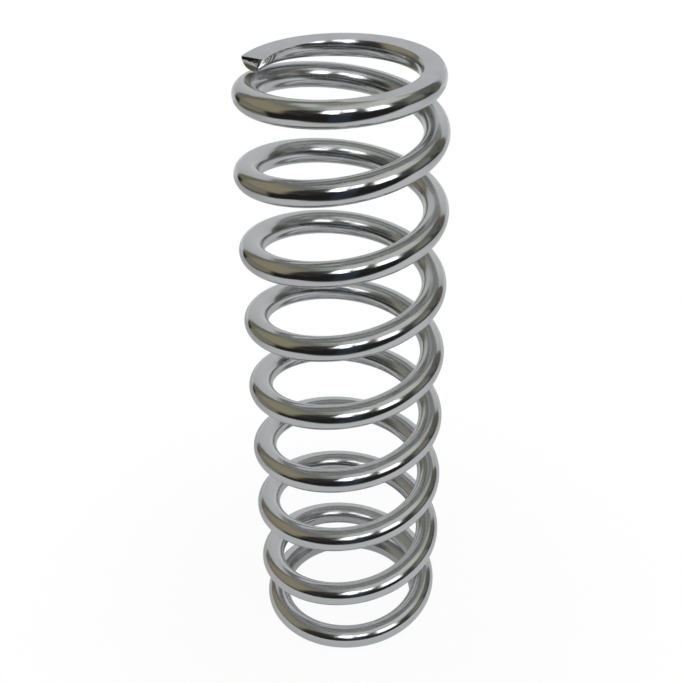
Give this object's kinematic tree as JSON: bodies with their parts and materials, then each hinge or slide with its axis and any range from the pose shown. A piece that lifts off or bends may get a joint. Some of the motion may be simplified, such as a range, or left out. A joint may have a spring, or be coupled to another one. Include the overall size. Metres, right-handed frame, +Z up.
{
  "type": "coilover compression spring",
  "caption": "Chrome-plated round-wire compression coil spring with closed, ground end faces and a slightly wider body.",
  "frame": {"origin": "on the spring's axis, in the plane of the lower ground end face", "axes": "+Z up the spring's axis; +X to the right and +Y away when the upper tip is at the back left"},
  "size_m": [0.091, 0.091, 0.29],
  "materials": {
    "plated_bar": "bright chrome plate over a smooth round bar; satin where the ends are ground"
  },
  "bodies": {
    "root": {"coil_spring": "plated_bar"}
  },
  "joints": []
}
